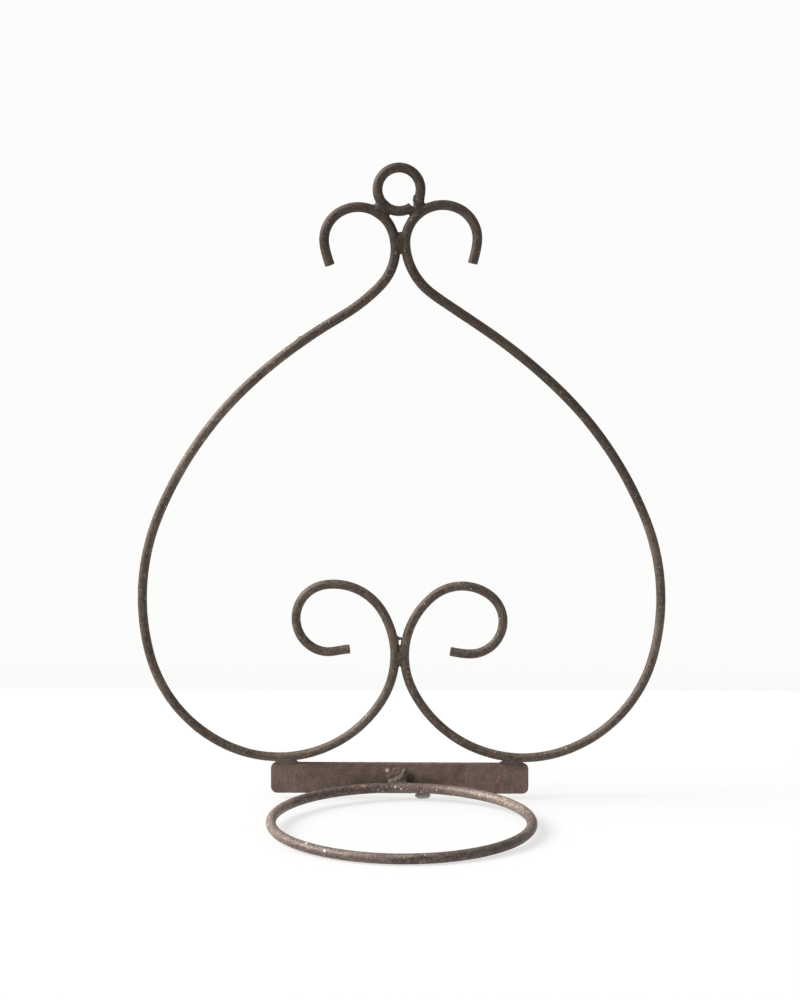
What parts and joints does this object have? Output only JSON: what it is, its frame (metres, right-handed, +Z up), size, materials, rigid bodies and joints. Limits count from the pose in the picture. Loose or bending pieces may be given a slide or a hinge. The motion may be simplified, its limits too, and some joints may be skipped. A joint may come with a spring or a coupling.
{
  "type": "wall plant pot holder",
  "caption": "Wrought-iron wall-hanging plant-pot holder: scrolled rod back frame with a hanging ring on top and a horizontal ring at the foot that a tapered flower pot drops into.",
  "frame": {"origin": "middle of the bottom edge of the base strip, half way through its thickness", "axes": "+Z up along the back frame, +Y towards the wall behind it, -Y towards the pot ring, +X to the right seen from the front"},
  "size_m": [0.2815, 0.1384, 0.3354],
  "materials": {
    "frame_iron": "dark brown oxidised wrought iron, waxed, low sheen, fine pitting and pale dust specks",
    "strip_iron": "brown oxidised flat bar, matt, faint scratches and rust spots",
    "pot_ring_iron": "brown oxidised rod, dusty, worn lighter, with cream and rust specks",
    "weld_iron": "lumpy weld metal, oxidised dark brown"
  },
  "bodies": {
    "root": {"left_scroll": "frame_iron", "right_scroll": "frame_iron", "hanging_ring": "frame_iron", "base_strip": "strip_iron", "pot_ring": "pot_ring_iron", "ring_weld_left": "weld_iron", "ring_weld_right": "weld_iron", "neck_weld": "weld_iron", "waist_weld": "weld_iron", "strip_weld_left": "weld_iron", "strip_weld_right": "weld_iron", "pot_ring_weld": "weld_iron"}
  },
  "joints": []
}
